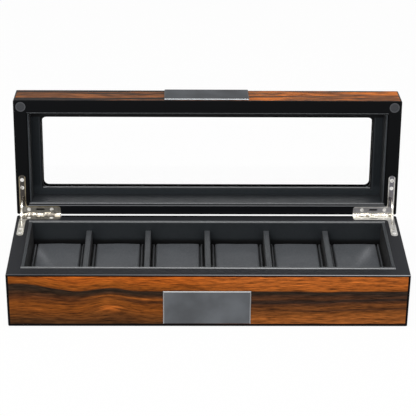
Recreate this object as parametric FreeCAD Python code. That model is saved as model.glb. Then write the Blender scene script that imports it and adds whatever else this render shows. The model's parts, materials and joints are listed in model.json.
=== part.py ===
import FreeCAD, Part
import math
import os
from FreeCAD import Vector

# Watch box with a glass lid and six cushions, in millimetres.
# X runs along the width, Y from the front to the rear and Z up.
# The origin is at the middle of the underside.
# The lid is drawn shut and then turned about the hinge pins to its stop, which is the rest position.

# Outside of the box
WIDTH = 340.0
DEPTH = 106.8
BASE_HEIGHT = 50.5
LID_HEIGHT = 29.8
RIM_GAP = 0.4
OPEN_ANGLE = 96.0
CORNER_RADIUS = 1.3
ARRIS = 0.6

# Boards of the carcass
BASE_WALL = 11.6
BASE_REAR_WALL = 9.9
LID_REAR_RAIL = 8.9
LIP_CLEARANCE = 0.4
BOTTOM_BOARD = 6.0
FELT = 0.8
FELT_INSET = 4.0

# Veneer sheets and the black edges left round them
VENEER = 0.6
SIDE_EDGE = 1.45
RIM_EDGE = 1.1
FOOT_EDGE = 2.0
TOP_EDGE = 1.3
WINDOW_EDGE = 1.5

# Covered lining of the base
LINER = 3.4
REAR_LINER = 3.4
LIP_RAISE = 0.6
LIP_ROUND = 1.2
FLOOR_PAD = 2.0
COMPARTMENTS = 6
DIVIDER = 5.0
DIVIDER_DROP = 7.7
DIVIDER_ROUND = 0.9

# Cushions
CUSHION_SIDE_GAP = 0.9
CUSHION_FRONT_GAP = 1.0
CUSHION_REAR_GAP = 2.9
CUSHION_SEAT_GAP = 0.1
CUSHION_DROP = 17.9
CUSHION_ROUND = 5.0
CUSHION_FOOT_ROUND = 3.0
CROWN = 1.2
WELT = 1.8
WELT_FALL = 0.7
SEAM_WIDTH = 1.3
SEAM_DEPTH = 1.4
CROWN_STEPS = 4

# Glass, top frame and covered lining of the lid
LID_LINER = 1.9
LID_LINER_RECESS = 1.2
LID_LINER_ROUND = 0.7
PANEL_DEPTH = 21.7
PANEL = 2.5
PANEL_ROUND = 1.5
PANEL_REVEAL = 0.5
WINDOW_MARGIN = 9.3
WINDOW_FRONT_MARGIN = 10.2
WINDOW_REAR_MARGIN = 7.0
WINDOW_RADIUS = 4.5
GLASS = 2.5
GLASS_SEAT = 5.0
GLASS_CLEARANCE = 0.15

# Metal plates on the front
PLATE_WIDTH = 74.2
PLATE_SHIFT = -1.1
PLATE = 1.2
PLATE_BEVEL = 0.6
BASE_PLATE_FOOT = 3.9
BASE_PLATE_HEIGHT = 31.9
LID_PLATE_SETBACK = 1.6
LID_PLATE_TOP_MARGIN = 0.6

# Closing magnets
MAGNET_FROM_SIDE = 6.5
MAGNET_FROM_FRONT = 6.0
MAGNET_CUP_RADIUS = 4.4
MAGNET_CUP_WALL = 0.9
MAGNET_CUP = 3.0
MAGNET_PROUD = 0.2
MAGNET_SINK = 0.3
STEEL_DISC_RADIUS = 4.0
STEEL_DISC = 2.0
STEEL_DISC_COVER = 1.0

# Corner hinges
PIN_OFFSET = 0.7
PIN_RADIUS = 1.0
PIN_CLEARANCE = 0.05
KNUCKLE_RADIUS = 2.0
KNUCKLES = 5
KNUCKLE_GAP = 0.2
BARREL_CLEARANCE = 0.35
LEAF = 1.6
LEAF_EDGE = 2.6
LEAF_REACH = 39.0
LEAF_REAR_WIDTH = 7.3
LEAF_RUN = 37.2
LEAF_SIDE_WIDTH = 5.8
LEAF_END_ROUND = 2.8
LEAF_CORNER_ROUND = 2.4
LEAF_INNER_ROUND = 3.0
LEAF_CLEARANCE = 0.1
LEAF_SLOT_LENGTH = 7.6
LEAF_SLOT_WIDTH = 1.8

# Hinge screws
SCREW_HEAD_RADIUS = 1.7
SCREW_HEAD = 0.9
SCREW_RADIUS = 0.8
SCREW_LENGTH = 9.0
SCREW_CLEARANCE = 0.05
SCREW_CROSS_LENGTH = 2.0
SCREW_CROSS_WIDTH = 0.45
SCREW_CROSS_DEPTH = 0.5
REAR_SCREW_NEAR = 8.2
REAR_SCREW_FAR = 8.0
SIDE_SCREW_END = 4.6
SIDE_SCREW_PITCH = 7.4

# Curved stays
STAY_RADIUS = 15.5
STAY_WIDTH = 2.4
STAY_THICKNESS = 1.2
STAY_HEAD_WIDTH = 4.4
STAY_HEAD_ANGLE = 6.0
STAY_SLOT_CLEARANCE = 0.35
STAY_POCKET_CLEARANCE = 0.6
STAY_STOP_GAP = 0.3
STAY_POCKET_ANGLE = 4.0

TINY = 1e-6

# Planes and places worked out from the sizes above
SIDE = WIDTH / 2
FRONT = -DEPTH / 2
REAR = DEPTH / 2
RIM = BASE_HEIGHT
LID_RIM = RIM + RIM_GAP
LID_TOP = LID_RIM + LID_HEIGHT
PIN_Y = REAR + PIN_OFFSET
PIN_Z = RIM + RIM_GAP / 2
BOTTOM_TOP = FELT + BOTTOM_BOARD
FLOOR = BOTTOM_TOP + FLOOR_PAD
LID_RAIL = BASE_WALL - LIP_CLEARANCE

BASE_INSIDE = (SIDE - BASE_WALL, FRONT + BASE_WALL, REAR - BASE_REAR_WALL)
TRAY = (BASE_INSIDE[0] - LINER, BASE_INSIDE[1] + LINER, BASE_INSIDE[2] - REAR_LINER)
LID_INSIDE = (SIDE - LID_RAIL, FRONT + LID_RAIL, REAR - LID_REAR_RAIL)
LID_HOLLOW = (LID_INSIDE[0] - LID_LINER, LID_INSIDE[1] + LID_LINER, LID_INSIDE[2] - LID_LINER)
WINDOW = (
    LID_HOLLOW[0] - WINDOW_MARGIN,
    LID_HOLLOW[1] + WINDOW_FRONT_MARGIN,
    LID_HOLLOW[2] - WINDOW_REAR_MARGIN,
)
PANEL_WINDOW = (WINDOW[0] + PANEL_REVEAL, WINDOW[1] - PANEL_REVEAL, WINDOW[2] + PANEL_REVEAL)
PANEL_FACE = LID_RIM + PANEL_DEPTH
PANEL_BACK = PANEL_FACE + PANEL
SHEET_FACE = LID_TOP - VENEER

COMPARTMENT = (2 * TRAY[0] - (COMPARTMENTS - 1) * DIVIDER) / COMPARTMENTS
PITCH = COMPARTMENT + DIVIDER

LEAF_MIDDLE = LEAF_EDGE + LEAF_SIDE_WIDTH / 2
GROOVE_RADIUS = KNUCKLE_RADIUS + BARREL_CLEARANCE
REAR_SCREW_LINE = (GROOVE_RADIUS - PIN_OFFSET + LEAF_REAR_WIDTH) / 2
KNUCKLE_LENGTH = (LEAF_REACH - LEAF_EDGE) / KNUCKLES
STAY_HEAD_INNER = STAY_RADIUS - STAY_HEAD_WIDTH / 2
STAY_HEAD_OUTER = STAY_RADIUS + STAY_HEAD_WIDTH / 2
STAY_STOP_ANGLE = math.degrees(math.asin((RIM_GAP / 2 + LEAF + STAY_STOP_GAP) / STAY_HEAD_INNER))
STAY_END_ANGLE = STAY_STOP_ANGLE + STAY_HEAD_ANGLE


# Plain shapes

def block(x0, x1, y0, y1, z0, z1):
    """A box between two corners."""
    return Part.makeBox(x1 - x0, y1 - y0, z1 - z0, Vector(x0, y0, z0))


def disc(radius, height, x, y, z):
    """An upright cylinder standing at a point."""
    return Part.makeCylinder(radius, height, Vector(x, y, z))


def rod(radius, x0, x1):
    """A cylinder about the hinge axis between two places along X."""
    return Part.makeCylinder(radius, x1 - x0, Vector(x0, PIN_Y, PIN_Z), Vector(1, 0, 0))


def prism(points, z0, z1):
    """An upright prism on a polygon."""
    corners = [Vector(x, y, z0) for x, y in points]
    outline = Part.makePolygon(corners + corners[:1])
    return Part.Face(outline).extrude(Vector(0, 0, z1 - z0))


def is_upright(edge):
    """True for a straight edge parallel to Z."""
    box = edge.BoundBox
    return box.XLength < TINY and box.YLength < TINY


def lies_level(edge, z):
    """True for an edge that lies at one height."""
    box = edge.BoundBox
    return abs(box.ZMin - z) < TINY and abs(box.ZMax - z) < TINY


def round_upright(shape, radius, places):
    """Rounds the upright edges of a prism that stand at the given places in plan."""
    edges = []
    for edge in filter(is_upright, shape.Edges):
        foot = edge.Vertexes[0]
        if any(abs(foot.X - x) < TINY and abs(foot.Y - y) < TINY for x, y in places):
            edges.append(edge)
    return shape.makeFillet(radius, edges)


def rounded_block(inside, z0, z1, radius):
    """A block of a given half width, front and rear with rounded upright corners."""
    half, front, rear = inside
    plain = block(-half, half, front, rear, z0, z1)
    return plain.makeFillet(radius, list(filter(is_upright, plain.Edges)))


def strip(x0, x1, y0, y1, z0, z1, radius, along, at_top=True):
    """A covered board, rounded on the edges at its top or its foot that run along X, Y or both."""
    board = block(x0, x1, y0, y1, z0, z1)
    level = z1 if at_top else z0
    edges = [edge for edge in board.Edges if lies_level(edge, level)]
    rounded = [
        edge for edge in edges
        if any(getattr(edge.BoundBox, axis + "Length") > TINY for axis in along)
    ]
    return board.makeFillet(radius, rounded)


def flipped(shape):
    """The mirror image on the left half of the box."""
    return shape.mirror(Vector(0, 0, 0), Vector(1, 0, 0))


def turned_over(shape):
    """The mirror image across the hinge axis, which carries a piece of the base's hinge to the shut lid."""
    return shape.mirror(Vector(0, 0, PIN_Z), Vector(0, 0, 1))


def both_sides(shape):
    """A piece and its mirror image as one list."""
    return [shape, flipped(shape)]


def opened(shape):
    """A piece of the shut lid, turned about the hinge pins to the stop."""
    turned = shape.copy()
    turned.rotate(Vector(0, PIN_Y, PIN_Z), Vector(-1, 0, 0), OPEN_ANGLE)
    return turned


# Carcass of the base and of the lid

def carcass(z0, z1, hinge_z):
    """The outside of the base or the lid, with rounded corners and eased arrises, but for the hinge arris."""
    outside = rounded_block((SIDE, FRONT, REAR), z0, z1, CORNER_RADIUS)
    arrises = [edge for edge in outside.Edges if lies_level(edge, z0) or lies_level(edge, z1)]
    half = SIDE - CORNER_RADIUS
    sharp = block(-half, half, REAR - ARRIS, REAR, hinge_z, hinge_z + ARRIS)
    return outside.makeFillet(ARRIS, arrises).fuse(sharp).removeSplitter()


def veneers(z0, z1):
    """The four sheets let into the sides of a carcass, flush with its faces."""
    half = SIDE - SIDE_EDGE
    front = FRONT + SIDE_EDGE
    rear = REAR - SIDE_EDGE
    return {
        "front": block(-half, half, FRONT, FRONT + VENEER, z0, z1),
        "rear": block(-half, half, REAR - VENEER, REAR, z0, z1),
        "left": block(-SIDE, -SIDE + VENEER, front, rear, z0, z1),
        "right": block(SIDE - VENEER, SIDE, front, rear, z0, z1),
    }


def mitred(frame, inside, z0, z1):
    """Cuts a frame apart along its mitres into four boards."""
    half, front, rear = inside
    outer = [(-SIDE, FRONT), (SIDE, FRONT), (SIDE, REAR), (-SIDE, REAR)]
    inner = [(-half, front), (half, front), (half, rear), (-half, rear)]
    boards = {}
    for i, name in enumerate(("front", "right", "rear", "left")):
        j = (i + 1) % len(outer)
        boards[name] = frame.common(prism([outer[i], outer[j], inner[j], inner[i]], z0, z1))
    return boards


def hollow(inside, z0, z1):
    """The space inside a frame of boards."""
    half, front, rear = inside
    return block(-half, half, front, rear, z0, z1)


# Hinges in the right rear corner of the base

def leaf_plate(z0, z1, grow=0.0):
    """The L of a hinge leaf, one leg along the rear of the box and one along its side."""
    outer = SIDE - LEAF_EDGE + grow
    rear_end = SIDE - LEAF_REACH - grow
    rear_leg = REAR - LEAF_REAR_WIDTH - grow
    side_leg = SIDE - LEAF_EDGE - LEAF_SIDE_WIDTH - grow
    side_end = REAR - LEAF_RUN - grow
    plate = block(rear_end, outer, rear_leg, REAR, z0, z1)
    plate = plate.fuse(block(side_leg, outer, side_end, REAR, z0, z1)).removeSplitter()
    plate = round_upright(plate, LEAF_END_ROUND, [(side_leg, side_end), (outer, side_end)])
    plate = round_upright(plate, LEAF_CORNER_ROUND, [(rear_end, rear_leg)])
    return round_upright(plate, LEAF_INNER_ROUND, [(side_leg, rear_leg)])


def knuckle_span(index):
    """Where one knuckle of the barrel starts and ends along X."""
    start = SIDE - LEAF_REACH + index * KNUCKLE_LENGTH
    return start + KNUCKLE_GAP / 2, start + KNUCKLE_LENGTH - KNUCKLE_GAP / 2


def screw_places():
    """The four screws of a leaf in plan, two on each leg."""
    side_x = SIDE - LEAF_MIDDLE
    rear_y = REAR - REAR_SCREW_LINE
    last_y = REAR - LEAF_RUN + SIDE_SCREW_END
    return [
        (SIDE - LEAF_EDGE - REAR_SCREW_NEAR, rear_y),
        (SIDE - LEAF_REACH + REAR_SCREW_FAR, rear_y),
        (side_x, last_y),
        (side_x, last_y + SIDE_SCREW_PITCH),
    ]


def screw_body(x, y, grow=0.0):
    """A countersunk screw, its head flush with the rim, without its cross."""
    shank = SCREW_RADIUS + grow
    foot = RIM - SCREW_HEAD - grow
    head = Part.makeCone(shank, SCREW_HEAD_RADIUS + grow, SCREW_HEAD + grow, Vector(x, y, foot))
    length = SCREW_LENGTH - SCREW_HEAD
    return head.fuse(disc(shank, length, x, y, foot - length)).removeSplitter()


def screw(x, y):
    """A screw with a cross cut in its head."""
    half_length = SCREW_CROSS_LENGTH / 2
    half_width = SCREW_CROSS_WIDTH / 2
    foot = RIM - SCREW_CROSS_DEPTH
    cross = block(x - half_length, x + half_length, y - half_width, y + half_width, foot, RIM)
    cross = cross.fuse(block(x - half_width, x + half_width, y - half_length, y + half_length, foot, RIM))
    return screw_body(x, y).cut(cross)


def stay_arc(inner, outer, start, end, half_thickness):
    """A flat ring sector about the hinge axis, by angles up from the base's rim, in the stay's plane."""
    def point(radius, angle):
        turn = math.radians(angle)
        x = SIDE - LEAF_MIDDLE - half_thickness
        return Vector(x, PIN_Y - radius * math.cos(turn), PIN_Z + radius * math.sin(turn))

    middle = (start + end) / 2
    edges = [
        Part.Arc(point(outer, start), point(outer, middle), point(outer, end)).toShape(),
        Part.makeLine(point(outer, end), point(inner, end)),
        Part.Arc(point(inner, end), point(inner, middle), point(inner, start)).toShape(),
        Part.makeLine(point(inner, start), point(outer, start)),
    ]
    return Part.Face(Part.Wire(edges)).extrude(Vector(2 * half_thickness, 0, 0))


def stay_slot():
    """The slot in a leaf that the stay slides through."""
    half_thickness = STAY_THICKNESS / 2 + STAY_SLOT_CLEARANCE
    half_width = STAY_WIDTH / 2 + STAY_SLOT_CLEARANCE
    x = SIDE - LEAF_MIDDLE
    y = PIN_Y - STAY_RADIUS
    return block(x - half_thickness, x + half_thickness, y - half_width, y + half_width, RIM - 2 * LEAF, RIM)


def stay():
    """The curved stay with a head at each end that stops under its leaf."""
    half = STAY_THICKNESS / 2
    inner = STAY_RADIUS - STAY_WIDTH / 2
    outer = STAY_RADIUS + STAY_WIDTH / 2
    arm = stay_arc(inner, outer, -STAY_END_ANGLE, OPEN_ANGLE + STAY_END_ANGLE, half)
    heads = [
        stay_arc(STAY_HEAD_INNER, STAY_HEAD_OUTER, start, start + STAY_HEAD_ANGLE, half)
        for start in (-STAY_END_ANGLE, OPEN_ANGLE + STAY_STOP_ANGLE)
    ]
    return arm.fuse(heads).removeSplitter()


def leaf(own_knuckles):
    """A hinge leaf with its knuckles, screw holes and slots."""
    start = SIDE - LEAF_REACH - BARREL_CLEARANCE
    metal = leaf_plate(RIM - LEAF, RIM).cut(rod(GROOVE_RADIUS, start, SIDE))
    for index in own_knuckles:
        x0, x1 = knuckle_span(index)
        web = block(x0, x1, REAR - GROOVE_RADIUS, PIN_Y, RIM - LEAF, RIM)
        metal = metal.fuse([web, rod(KNUCKLE_RADIUS, x0, x1)])
    cuts = [rod(PIN_RADIUS + PIN_CLEARANCE, start, SIDE), stay_slot(), leaf_mark()]
    cuts += [screw_body(x, y, SCREW_CLEARANCE) for x, y in screw_places()]
    return metal.cut(cuts).removeSplitter()


def leaf_mark():
    """The plain round-ended slot in the rear leg, between its two screws."""
    near, far = screw_places()[:2]
    x = (near[0] + far[0]) / 2
    y = near[1]
    half = (LEAF_SLOT_LENGTH - LEAF_SLOT_WIDTH) / 2
    radius = LEAF_SLOT_WIDTH / 2
    z = RIM - 2 * LEAF
    slot = block(x - half, x + half, y - radius, y + radius, z, RIM)
    return slot.fuse([disc(radius, 2 * LEAF, x - half, y, z), disc(radius, 2 * LEAF, x + half, y, z)])


def hinge_room():
    """What the hinge, its screws and the stay take out of the base's boards."""
    mortise = leaf_plate(RIM - LEAF, RIM + LEAF, LEAF_CLEARANCE)
    groove = rod(GROOVE_RADIUS, SIDE - LEAF_REACH - BARREL_CLEARANCE, SIDE - LEAF_EDGE + BARREL_CLEARANCE)
    pocket = stay_arc(
        STAY_HEAD_INNER - STAY_POCKET_CLEARANCE,
        STAY_HEAD_OUTER + STAY_POCKET_CLEARANCE,
        -OPEN_ANGLE / 2 - STAY_END_ANGLE - STAY_POCKET_ANGLE,
        0.0,
        STAY_THICKNESS / 2 + STAY_POCKET_CLEARANCE,
    )
    pilots = [screw_body(x, y, SCREW_CLEARANCE) for x, y in screw_places()]
    return [mortise, groove, pocket] + pilots


def hinge():
    """The right-hand hinge: the base's leaf, the shut lid's leaf, the pin, the stay and a leaf's screws."""
    base_knuckles = range(0, KNUCKLES, 2)
    lid_knuckles = range(1, KNUCKLES, 2)
    start = SIDE - LEAF_REACH + KNUCKLE_GAP / 2
    end = SIDE - LEAF_EDGE - KNUCKLE_GAP / 2
    return {
        "base_leaf": leaf(base_knuckles),
        "lid_leaf": turned_over(leaf(lid_knuckles)),
        "pin": rod(PIN_RADIUS, start, end),
        "stay": stay(),
        "screws": [screw(x, y) for x, y in screw_places()],
    }


# Closing magnets in the front right corner

def magnet_place():
    """The middle of a closing magnet in plan."""
    return SIDE - MAGNET_FROM_SIDE, FRONT + MAGNET_FROM_FRONT


def magnet_cup_blank():
    """The outside of a magnet's cup in the shut lid, standing a little proud of the mating face."""
    x, y = magnet_place()
    return disc(MAGNET_CUP_RADIUS, MAGNET_CUP + MAGNET_PROUD, x, y, LID_RIM - MAGNET_PROUD)


def magnet():
    """The magnet inside its cup, a little below the cup's edge."""
    x, y = magnet_place()
    face = LID_RIM - MAGNET_PROUD + MAGNET_SINK
    height = LID_RIM + MAGNET_CUP - MAGNET_CUP_WALL - face
    return disc(MAGNET_CUP_RADIUS - MAGNET_CUP_WALL, height, x, y, face)


def magnet_cup():
    """The steel cup round the magnet."""
    x, y = magnet_place()
    bore = disc(
        MAGNET_CUP_RADIUS - MAGNET_CUP_WALL,
        MAGNET_CUP - MAGNET_CUP_WALL + MAGNET_PROUD,
        x, y, LID_RIM - MAGNET_PROUD,
    )
    return magnet_cup_blank().cut(bore)


def steel_disc():
    """The hidden disc under the base's rim that the magnet pulls on."""
    x, y = magnet_place()
    return disc(STEEL_DISC_RADIUS, STEEL_DISC, x, y, RIM - STEEL_DISC_COVER - STEEL_DISC)


# Cushions

def cushion_section(x, inset):
    """The wrap of a cushion at one place across its width: a round-cornered outline in the YZ plane."""
    front = TRAY[1] + CUSHION_FRONT_GAP + inset
    rear = TRAY[2] - CUSHION_REAR_GAP - inset
    foot = FLOOR + CUSHION_SEAT_GAP
    top = RIM - CUSHION_DROP - inset
    low = CUSHION_FOOT_ROUND
    high = CUSHION_ROUND
    diagonal = 1 - math.sqrt(0.5)

    def at(y, z):
        return Vector(x, y, z)

    return Part.Wire([
        Part.makeLine(at(front + low, foot), at(rear - low, foot)),
        Part.Arc(at(rear - low, foot), at(rear - low * diagonal, foot + low * diagonal),
                 at(rear, foot + low)).toShape(),
        Part.makeLine(at(rear, foot + low), at(rear, top - high)),
        Part.Arc(at(rear, top - high), at(rear - high * diagonal, top - high * diagonal),
                 at(rear - high, top)).toShape(),
        Part.makeLine(at(rear - high, top), at(front + high, top)),
        Part.Arc(at(front + high, top), at(front + high * diagonal, top - high * diagonal),
                 at(front, top - high)).toShape(),
        Part.makeLine(at(front, top - high), at(front, foot + low)),
        Part.Arc(at(front, foot + low), at(front + low * diagonal, foot + low * diagonal),
                 at(front + low, foot)).toShape(),
    ])


def cushion(middle):
    """A stuffed cushion: a crowned wrap drawn in at both sides to a seam, with a welt along the edge."""
    half = COMPARTMENT / 2 - CUSHION_SIDE_GAP
    crown_half = half - WELT - SEAM_WIDTH
    stations = [(half, CROWN + WELT_FALL), (half - WELT / 2, CROWN), (half - WELT, CROWN + SEAM_DEPTH)]
    for step in range(CROWN_STEPS):
        share = 1 - step / CROWN_STEPS
        stations.append((crown_half * share, CROWN * share ** 2))
    right = [(middle + x, inset) for x, inset in stations]
    left = [(middle - x, inset) for x, inset in stations]
    places = left + [(middle, 0.0)] + right[::-1]
    return Part.makeLoft([cushion_section(x, inset) for x, inset in places], True, True)


# Base

def base_nodes(hinge_pieces):
    """Every piece of the base, by name."""
    sheets = veneers(FELT + FOOT_EDGE, RIM - RIM_EDGE)
    room = []
    for piece in hinge_room():
        room += both_sides(piece)
    discs = both_sides(steel_disc())
    frame = carcass(FELT, RIM, RIM - ARRIS).cut(hollow(BASE_INSIDE, FELT, RIM))
    frame = frame.cut(room + discs + list(sheets.values()))

    nodes = {}
    for side, board in mitred(frame, BASE_INSIDE, FELT, RIM).items():
        nodes[f"base_{side}_wall"] = board
    for side, sheet in sheets.items():
        nodes[f"base_veneer_{side}"] = sheet.cut(room)
    nodes["base_bottom_board"] = hollow(BASE_INSIDE, FELT, BOTTOM_TOP)
    felt_inside = (SIDE - FELT_INSET, FRONT + FELT_INSET, REAR - FELT_INSET)
    nodes["base_felt_pad"] = hollow(felt_inside, 0.0, FELT)
    nodes["base_steel_discs"] = Part.makeCompound(discs)
    nodes.update(lining_nodes())
    nodes["base_plate"] = plate(BASE_PLATE_FOOT, BASE_PLATE_FOOT + BASE_PLATE_HEIGHT)

    right_screws = hinge_pieces["screws"]
    nodes["base_hinge_screws"] = Part.makeCompound(right_screws + [flipped(piece) for piece in right_screws])
    for name, key in (("base_hinge_leaf", "base_leaf"), ("hinge_pin", "pin"), ("hinge_stay", "stay")):
        nodes[f"{name}_right"] = hinge_pieces[key]
        nodes[f"{name}_left"] = flipped(hinge_pieces[key])
    return nodes


def lining_nodes():
    """The covered boards that line the base, the dividers and the cushions."""
    half, front, rear = BASE_INSIDE
    tray_half, tray_front, tray_rear = TRAY
    lip = RIM + LIP_RAISE
    nodes = {
        "liner_front": strip(-half, half, front, tray_front, BOTTOM_TOP, lip, LIP_ROUND, "X"),
        "liner_rear": strip(-half, half, tray_rear, rear, BOTTOM_TOP, lip, LIP_ROUND, "X"),
        "liner_left": strip(-half, -tray_half, tray_front, tray_rear, BOTTOM_TOP, lip, LIP_ROUND, "Y"),
        "liner_right": strip(tray_half, half, tray_front, tray_rear, BOTTOM_TOP, lip, LIP_ROUND, "Y"),
        "tray_floor": hollow(TRAY, BOTTOM_TOP, FLOOR),
    }
    divider_top = RIM - DIVIDER_DROP
    for index in range(COMPARTMENTS):
        start = -tray_half + index * PITCH
        nodes[f"cushion_{index + 1}"] = cushion(start + COMPARTMENT / 2)
        if index:
            nodes[f"divider_{index}"] = strip(
                start - DIVIDER, start, tray_front, tray_rear, FLOOR, divider_top, DIVIDER_ROUND, "XY")
    return nodes


def plate(z0, z1):
    """A metal plate on the front face, with a bevel round its outer face."""
    left = PLATE_SHIFT - PLATE_WIDTH / 2
    metal = block(left, left + PLATE_WIDTH, FRONT - PLATE, FRONT, z0, z1)
    face_edges = [edge for edge in metal.Edges if edge.BoundBox.YMax < FRONT - PLATE + TINY]
    return metal.makeChamfer(PLATE_BEVEL, face_edges)


# Lid, drawn shut

def lid_nodes(hinge_pieces):
    """Every piece of the lid, by name, in its shut place."""
    sheets = veneers(LID_RIM + RIM_EDGE, LID_TOP - TOP_EDGE)
    top_inside = (SIDE - TOP_EDGE, FRONT + TOP_EDGE, REAR - TOP_EDGE)
    window_cut = rounded_block(WINDOW, LID_RIM, LID_TOP, WINDOW_RADIUS)
    half, front, rear = WINDOW
    veneer_window = (half + WINDOW_EDGE, front - WINDOW_EDGE, rear + WINDOW_EDGE)
    top_sheet = hollow(top_inside, SHEET_FACE, LID_TOP)
    top_sheet = top_sheet.cut(rounded_block(veneer_window, SHEET_FACE, LID_TOP, WINDOW_RADIUS + WINDOW_EDGE))
    room = []
    for piece in hinge_room():
        room += both_sides(turned_over(piece))
    cups = both_sides(magnet_cup_blank())
    frame = carcass(LID_RIM, LID_TOP, LID_RIM).cut(hollow(LID_INSIDE, LID_RIM, LID_TOP))
    frame = frame.cut(room + cups + [top_sheet] + list(sheets.values()))

    nodes = {}
    for side, board in mitred(frame, LID_INSIDE, LID_RIM, LID_TOP).items():
        nodes[f"lid_{side}_rail"] = board
    for side, sheet in sheets.items():
        nodes[f"lid_veneer_{side}"] = sheet.cut(room)
    nodes["lid_veneer_top"] = top_sheet

    seat = (half + GLASS_SEAT, front - GLASS_SEAT, rear + GLASS_SEAT)
    pane = (seat[0] - GLASS_CLEARANCE, seat[1] + GLASS_CLEARANCE, seat[2] - GLASS_CLEARANCE)
    rebate = hollow(seat, PANEL_BACK, PANEL_BACK + GLASS + GLASS_CLEARANCE)
    top_frame = hollow(LID_INSIDE, PANEL_BACK, LID_TOP)
    nodes["lid_top_frame"] = top_frame.cut([window_cut, rebate, top_sheet])
    nodes["glass_pane"] = hollow(pane, PANEL_BACK, PANEL_BACK + GLASS)
    panel = hollow(LID_INSIDE, PANEL_FACE, PANEL_BACK)
    panel = panel.cut(rounded_block(PANEL_WINDOW, PANEL_FACE, PANEL_BACK, WINDOW_RADIUS + PANEL_REVEAL))
    half, front, rear = PANEL_WINDOW
    window_edges = [
        edge for edge in panel.Edges
        if lies_level(edge, PANEL_FACE) and abs(edge.CenterOfMass.x) < half + TINY
        and front - TINY < edge.CenterOfMass.y < rear + TINY
    ]
    nodes["lid_inner_panel"] = panel.makeFillet(PANEL_ROUND, window_edges)
    nodes.update(lid_lining_nodes())
    nodes["lid_plate"] = plate(LID_RIM + LID_PLATE_SETBACK, LID_TOP - LID_PLATE_TOP_MARGIN)

    nodes["lid_magnet_cups"] = Part.makeCompound(both_sides(magnet_cup()))
    nodes["lid_magnets"] = Part.makeCompound(both_sides(magnet()))
    right_screws = [turned_over(piece) for piece in hinge_pieces["screws"]]
    nodes["lid_hinge_screws"] = Part.makeCompound(right_screws + [flipped(piece) for piece in right_screws])
    nodes["lid_hinge_leaf_right"] = hinge_pieces["lid_leaf"]
    nodes["lid_hinge_leaf_left"] = flipped(hinge_pieces["lid_leaf"])
    return nodes


def lid_lining_nodes():
    """The covered boards round the inside of the lid."""
    half, front, rear = LID_INSIDE
    inner_half, inner_front, inner_rear = LID_HOLLOW
    foot = LID_RIM + LID_LINER_RECESS
    size = (foot, PANEL_FACE, LID_LINER_ROUND)
    return {
        "lid_liner_front": strip(-half, half, front, inner_front, *size, "X", at_top=False),
        "lid_liner_rear": strip(-half, half, inner_rear, rear, *size, "X", at_top=False),
        "lid_liner_left": strip(-half, -inner_half, inner_front, inner_rear, *size, "Y", at_top=False),
        "lid_liner_right": strip(inner_half, half, inner_front, inner_rear, *size, "Y", at_top=False),
    }


def main():
    """Builds every piece and writes one file for each."""
    os.makedirs("parts", exist_ok=True)
    hinge_pieces = hinge()
    nodes = base_nodes(hinge_pieces)
    for name, shape in lid_nodes(hinge_pieces).items():
        nodes[name] = opened(shape)
    for name, shape in nodes.items():
        shape.exportStep(f"parts/{name}.step")
        state = "valid" if shape.isValid() else "INVALID"
        print(name, len(shape.Solids), "solid", round(shape.Volume, 2), "mm3", state)
    print(len(nodes), "pieces")


main()
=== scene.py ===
# %% [markdown]
# A watch box with a glass lid: black lacquered boards, striped dark veneer on the outside,
# leatherette on the inside, six stuffed cushions, two metal plates and a pair of nickel stay hinges.
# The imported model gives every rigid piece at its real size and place, in metres, with +Z up and the
# front of the box towards -Y. This script only dresses it, and the cushions are the one new shape.

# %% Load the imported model
import json
import math

import bpy
import numpy as np
from mathutils import Matrix, Vector


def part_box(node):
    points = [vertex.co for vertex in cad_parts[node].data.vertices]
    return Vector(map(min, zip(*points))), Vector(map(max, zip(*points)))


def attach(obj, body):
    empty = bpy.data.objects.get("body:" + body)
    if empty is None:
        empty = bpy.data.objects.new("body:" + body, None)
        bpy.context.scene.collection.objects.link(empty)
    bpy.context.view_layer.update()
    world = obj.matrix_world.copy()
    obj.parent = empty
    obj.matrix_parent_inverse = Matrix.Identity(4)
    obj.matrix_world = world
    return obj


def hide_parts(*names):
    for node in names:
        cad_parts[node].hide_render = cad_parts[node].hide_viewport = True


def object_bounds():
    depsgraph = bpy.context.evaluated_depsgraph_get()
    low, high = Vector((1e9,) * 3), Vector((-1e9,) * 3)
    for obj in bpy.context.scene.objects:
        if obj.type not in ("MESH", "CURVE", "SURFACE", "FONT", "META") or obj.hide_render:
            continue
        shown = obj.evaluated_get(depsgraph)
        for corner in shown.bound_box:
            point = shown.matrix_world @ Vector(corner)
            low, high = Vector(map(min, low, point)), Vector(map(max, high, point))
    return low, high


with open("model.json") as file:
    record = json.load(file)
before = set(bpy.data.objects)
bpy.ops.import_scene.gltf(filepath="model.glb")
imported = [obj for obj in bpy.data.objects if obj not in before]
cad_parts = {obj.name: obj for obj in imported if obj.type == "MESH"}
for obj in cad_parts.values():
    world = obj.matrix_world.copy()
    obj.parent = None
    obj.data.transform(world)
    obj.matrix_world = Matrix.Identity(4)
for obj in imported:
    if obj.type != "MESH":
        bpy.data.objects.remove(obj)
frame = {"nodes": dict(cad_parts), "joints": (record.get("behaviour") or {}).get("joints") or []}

cad_low, cad_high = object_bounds()
MM = 0.001
print(len(frame["nodes"]), "pieces in a box of", [round(x / MM, 1) for x in cad_high - cad_low], "mm")


# %% [markdown]
# A finish is easiest to read when its maths looks like maths. The small class below wraps one socket
# of a shader tree: adding or multiplying two of them adds the Math node that does it. Every other
# kind of node comes from the one method `node`.

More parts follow.
